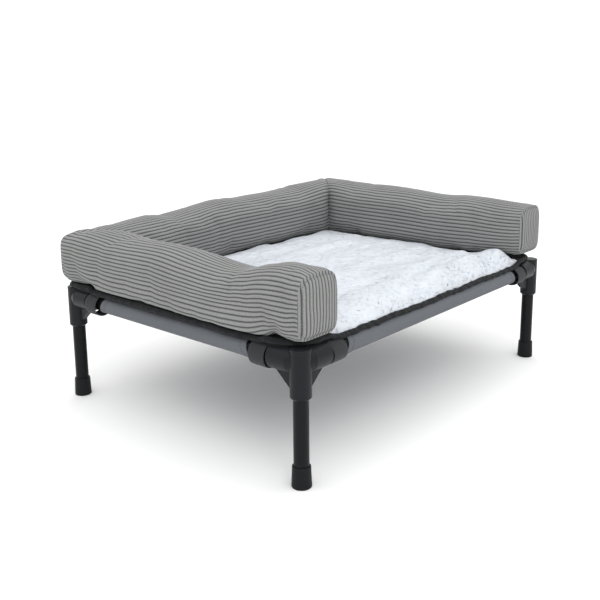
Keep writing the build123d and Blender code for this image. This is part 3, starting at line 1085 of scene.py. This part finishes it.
def makeSling():
    radius = sleeveRadius - slingDial["thickness"] * 0.5
    cell = slingDial["cell"]
    mesh, u, v = flatGrid("slingCloth", round(2 * legX / cell), round(2 * legY / cell))
    x, y = (2 * u - 1) * legX, (2 * v - 1) * legY
    for sideX, sideY in corners:
        dx, dy = x - sideX * legX, y - sideY * legY
        away = np.hypot(dx, dy)
        snap = (away < cutRadius + cell * 0.45) & (away > cutRadius - cell * 0.8)
        x = np.where(snap, sideX * legX + dx / np.maximum(away, 1e-6) * cutRadius, x)
        y = np.where(snap, sideY * legY + dy / np.maximum(away, 1e-6) * cutRadius, y)
    inside = (1 - (x / legX) ** 2) * (1 - (y / legY) ** 2)
    z = railZ + radius - slingDial["sag"] * np.clip(inside, 0, 1)
    settle(mesh, np.stack([x, y, z], -1))
    scaleUv(mesh, 2 * legX, 2 * legY)
    bm = bmesh.new()
    bm.from_mesh(mesh)
    gone = set()
    for a, b in corners:
        gone |= {w for w in bm.verts if math.hypot(w.co.x - a * legX, w.co.y - b * legY) < cutRadius - 1e-5}
    bmesh.ops.delete(bm, geom=[w for w in bm.verts if w in gone], context="VERTS")
    uvLayer = bm.loops.layers.uv[0]
    for axis, other, level, sign in ((1, 0, legY, -1), (1, 0, legY, 1), (0, 1, legX, -1), (0, 1, legX, 1)):
        rim = [e for e in bm.edges if e.is_boundary]
        ends = [e for e in rim if all(abs(w.co[axis] - sign * level) < 1e-6 for w in e.verts)]
        centre = Vector((0, 0, railZ))
        centre[axis] = sign * level
        turnAxis = Vector((0, 0, 0))
        turnAxis[other] = 1
        total = math.radians(slingDial["sweep"]) * (1 if (axis == 1) == (sign < 0) else -1)
        before = set(bm.faces)
        for _ in range(slingDial["sleeveSteps"]):
            made = bmesh.ops.extrude_edge_only(bm, edges=ends)["geom"]
            newVerts = vertsIn(made)
            ends = [e for e in edgesIn(made) if all(w in newVerts for w in e.verts)]
            turn = Matrix.Rotation(total / slingDial["sleeveSteps"], 3, turnAxis)
            bmesh.ops.rotate(bm, cent=centre, matrix=turn, verts=newVerts)
        made = bmesh.ops.extrude_edge_only(bm, edges=ends)["geom"]
        for w in vertsIn(made):
            w.co[axis] = sign * (level - slingDial["seamInset"])
            w.co.z = railZ + radius - slingDial["thickness"] * 1.1
        half, slant = (legX if axis == 1 else legY) - sleeveStart, slingDial["slant"]
        for w in {w for f in set(bm.faces) - before for w in f.verts}:
            if w.co.z < railZ + radius - 1e-5:
                fall = min(max((railZ + radius - w.co.z) / (2 * radius), 0), 1)
                w.co[other] *= (half - slant * (1 - fall)) / (half - slant)
        for f in set(bm.faces) - before:
            for loop in f.loops:
                w = loop.vert.co
                angle = math.atan2(w.z - railZ, (abs(w[axis]) - level)) * radius
                loop[uvLayer].uv = (w[other], angle)
    bmesh.ops.recalc_face_normals(bm, faces=bm.faces)
    bm.to_mesh(mesh)
    area = sum(f.calc_area() for f in bm.faces)  # of this mesh, not of a cut pattern
    bm.free()
    piece = addPiece(mesh, "slingCloth", "sling", "frame")
    solid = piece.modifiers.new("thickness", "SOLIDIFY")
    solid.thickness = slingDial["thickness"]
    solid.offset = 0
    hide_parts("sling")
    # a whole turn and two insets a side, which is more than the sleeve as modelled takes up
    for axis, sign in ((1, -1), (1, 1), (0, -1), (0, 1)):
        for end in (-1, 1):
            makeHem(axis, sign, end, radius)


def makeHem(axis, sign, end, radius):
    # Two rows of stitches beside a sleeve's slanted end
    level, half = (legY, legX - sleeveStart) if axis == 1 else (legX, legY - sleeveStart)
    count = 60
    turn = np.radians(np.linspace(80, -170, count))
    out, up = np.cos(turn), np.sin(turn)
    normal = np.zeros((count, 3))
    normal[:, axis], normal[:, 2] = sign * out, up
    reach = half - slingDial["slant"] * (1 - (1 - up) / 2)
    for row in (0.0, 0.0022):
        path = np.zeros((count, 3))
        path[:, axis] = sign * (level + (radius + 0.0006) * out)
        path[:, 2] = railZ + (radius + 0.0006) * up
        path[:, 1 - axis] = end * (reach - slingDial["hem"] - row)
        name = f"hemStitches_{axis}{'m' if sign < 0 else 'p'}{'m' if end < 0 else 'p'}{round(row * 1e4)}"
        sewRow(name, path, normal, 0.0026, 0.0013, 0.0003, "slingThread", "frame")


makeSling()
print("sling made")

# Straps

strapDial = {
    "thickness": 0.0012,
    "hang": 0.0046,
    "play": 0.0022,  # between the rail and the tape
    "sideMargin": 0.001,
    "start": 215,  # degrees at which the tape's first end lies
    "overlap": 1.9,  # radians of double layer round the outside
    "steps": 96,
}


def makeStrap(node, number):
    low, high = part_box(node)
    alongX = "front_rail" in node or "back_rail" in node
    outward = {"front": (0, -1), "back": (0, 1), "left": (-1, 0), "right": (1, 0)}[node.split("_")[1]]
    rng = np.random.default_rng(100 + number)
    size = high - low
    thick, width = strapDial["thickness"], (size.x if alongX else size.y) - strapDial["sideMargin"]
    centre = (low + high) / 2
    top = high.z - railZ - thick / 2
    inner = railRadius + strapDial["play"]
    hang = strapDial["hang"] * rng.uniform(0.55, 1.0)
    mesh, u, v = flatGrid(node + "_webbing", 24, strapDial["steps"])
    start, sweep = math.radians(strapDial["start"]), 2 * math.pi + strapDial["overlap"]
    angle = start - v * sweep
    lap = smoothStep((v - (1 - strapDial["overlap"] / sweep)) / 0.04)
    radius = inner + hang * (0.5 - 0.5 * np.sin(angle)) + 0.4 * hang * np.clip(np.cos(angle), 0, 1)
    radius = radius + thick * 1.25 * lap
    radius = radius + 0.0004 * np.sin(angle * 3 + number)
    # the tape's own section: a flat bar with round edges
    turn = u * 2 * math.pi
    across = np.sign(np.cos(turn)) * np.abs(np.cos(turn)) ** 0.35 * width / 2
    off = np.sign(np.sin(turn)) * np.abs(np.sin(turn)) ** 0.8 * thick / 2
    tilt = rng.uniform(-0.0010, 0.0010)
    across = across * (1 - 0.03 * lap) + tilt * np.cos(angle) + 0.0008 * (lap - 0.5)
    side = (radius + off) * np.cos(angle)
    up = np.minimum((radius + off) * np.sin(angle), top + off)
    along = centre.x if alongX else centre.y
    if alongX:
        points = np.stack([along + across, outward[1] * (legY + side), railZ + up], -1)
    else:
        points = np.stack([outward[0] * (legX + side), along + across, railZ + up], -1)
    settle(mesh, points)
    scaleUv(mesh, 2 * width, sweep * inner)
    finishMesh(mesh, merge=2e-6, fill=True)
    strap = addPiece(mesh, node + "_webbing", "webbing", "frame")
    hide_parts(node)


for number, node in enumerate(sorted(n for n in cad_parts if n.startswith("strap_"))):
    makeStrap(node, number)
print("straps made")

# Frame: the CAD nodes keep their shape and get their finish

for node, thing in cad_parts.items():
    kind = node.split("_")[0]
    finish = {"connector": "connector", "leg": "tube", "rail": "tube", "foot": "foot"}.get(kind)
    if finish:
        thing.data.materials.clear()
        thing.data.materials.append(finishes[finish])
print("frame finished")

# Floor and light


def makeStudio():
    studioDial = {
        "floorSize": 60.0,
        "floor": (0.96, 0.96, 0.96, 1),
        "world": 1.02,
        "sunPower": 0.55,
        "sunTurn": (22, -18, 0),
        "sunWidth": 70,  # degrees, for soft shadows
        "aim": (0, 0, 0.15),
        "lights": [  # name, place, size, power
            ("keyLight", (-1.5, -1.6, 1.9), 1.5, 14.0),
            ("topLight", (0.4, 0.3, 2.6), 2.2, 14.0),
        ],
    }
    bm = bmesh.new()
    bmesh.ops.create_grid(bm, x_segments=2, y_segments=2, size=studioDial["floorSize"] / 2)
    mesh = bpy.data.meshes.new("floor")
    bm.to_mesh(mesh)
    bm.free()
    colour = studioDial["floor"]
    material = startMaterial("paleFloor", Roughness=0.9, Specular_IOR_Level=0.1, Base_Color=colour)[0]
    mesh.materials.append(material)
    floor = bpy.data.objects.new("floor", mesh)
    bpy.context.scene.collection.objects.link(floor)
    world = bpy.data.worlds.new("studio")
    world.use_nodes = True
    background = world.node_tree.nodes["Background"]
    background.inputs["Color"].default_value = (1, 1, 1, 1)
    background.inputs["Strength"].default_value = studioDial["world"]
    bpy.context.scene.world = world
    for name, where, size, power in studioDial["lights"]:
        data = bpy.data.lights.new(name, "AREA")
        data.size = size
        data.energy = power
        light = bpy.data.objects.new(name, data)
        light.location = where
        light.rotation_euler = (Vector(studioDial["aim"]) - Vector(where)).to_track_quat("-Z", "Y").to_euler()
        bpy.context.scene.collection.objects.link(light)
    sunData = bpy.data.lights.new("sun", "SUN")
    sunData.energy = studioDial["sunPower"]
    sunData.angle = math.radians(studioDial["sunWidth"])
    sun = bpy.data.objects.new("sun", sunData)
    sun.rotation_euler = [math.radians(a) for a in studioDial["sunTurn"]]
    bpy.context.scene.collection.objects.link(sun)
    bpy.context.scene.view_settings.view_transform = "Standard"


makeStudio()
print("studio set")
